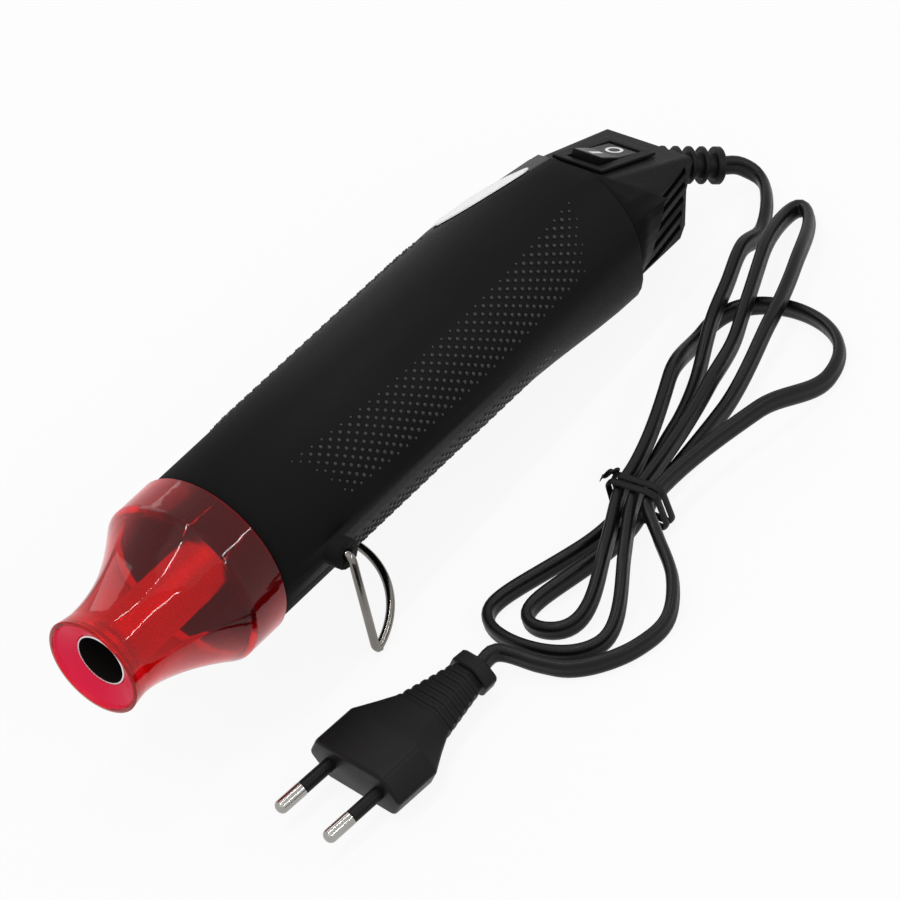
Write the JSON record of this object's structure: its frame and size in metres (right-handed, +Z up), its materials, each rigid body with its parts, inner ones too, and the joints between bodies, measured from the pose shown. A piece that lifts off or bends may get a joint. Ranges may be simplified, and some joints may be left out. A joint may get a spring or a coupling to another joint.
{
  "type": "hot air tool",
  "caption": "Slim hand-held hot air tool with a clear flared nozzle guard, a rocker switch on a sloping tail, a folding wire stand, and a tied flat lead with a moulded plug.",
  "frame": {"origin": "on the surface that the tool stands on, under the middle of the tool's box, without its lead and plug", "axes": "+X along the tool from the nozzle to the switch end, level; +Y to the tool's far side, away from the lead; +Z up"},
  "size_m": [0.2553, 0.1286, 0.0674],
  "materials": {
    "red_guard": "clear red, glossy",
    "bright_steel": "bright",
    "phenolic": "moulded",
    "mica": "flaky sheet",
    "resistance_wire": "dull oxide",
    "black_plastic": "fine matte grain",
    "black_gloss": "smooth",
    "plate_white": "satin, bare",
    "white_plastic": "moulded",
    "motor_steel": "drawn",
    "brass": "turned",
    "board_green": "lacquered",
    "black_rubber": "moulded",
    "cord_black": "smooth jacket with a groove between its cores",
    "plug_black": "satin moulding"
  },
  "bodies": {
    "tool": {"nozzle_guard": "red_guard", "outlet_tube": "bright_steel", "element_holder": "phenolic", "mica_sleeve": "mica", "element_former": "mica", "heating_coil": "resistance_wire", "thermal_fuse": "bright_steel", "body_shell": "black_plastic", "tail_cap": "black_plastic", "tail_screw_far": "bright_steel", "tail_screw_near": "bright_steel", "switch_body": "black_plastic", "rating_plate": "plate_white", "motor_mount": "white_plastic", "motor_screw_far": "bright_steel", "motor_screw_near": "bright_steel", "motor_can": "motor_steel", "motor_bush": "brass", "motor_end_cap": "black_plastic", "rectifier_board": "board_green", "diode_1": "black_gloss", "diode_2": "black_gloss", "diode_3": "black_gloss", "diode_4": "black_gloss", "cord_gland": "black_rubber", "cord_lead": "cord_black", "cord_hank": "cord_black", "cord_tail": "cord_black", "cord_tie": "cord_black", "plug_body": "plug_black", "plug_pin_left": "bright_steel", "plug_pin_right": "bright_steel", "pin_sleeve_left": "plug_black", "pin_sleeve_right": "plug_black"},
    "stand": {"bail_stand": "bright_steel"},
    "switch_rocker": {"rocker": "black_gloss"},
    "rotor": {"fan_impeller": "white_plastic", "motor_shaft": "motor_steel"}
  },
  "joints": [
    {"name": "bail_fold", "type": "hinge", "parent": "tool", "child": "stand", "pos_m": [-0.05604, 0, 0.03416], "axis": [0, 1, 0], "range_deg": [-5, 95]},
    {"name": "rocker_toggle", "type": "hinge", "parent": "tool", "child": "switch_rocker", "pos_m": [0.0926, 0, 0.03351], "axis": [0, 1, 0], "range_deg": [-16, 0]},
    {"name": "fan_spin", "type": "hinge", "parent": "tool", "child": "rotor", "pos_m": [-0.0287, 0, 0.03667], "axis": [0.9958, 0, -0.0912], "continuous": true}
  ]
}
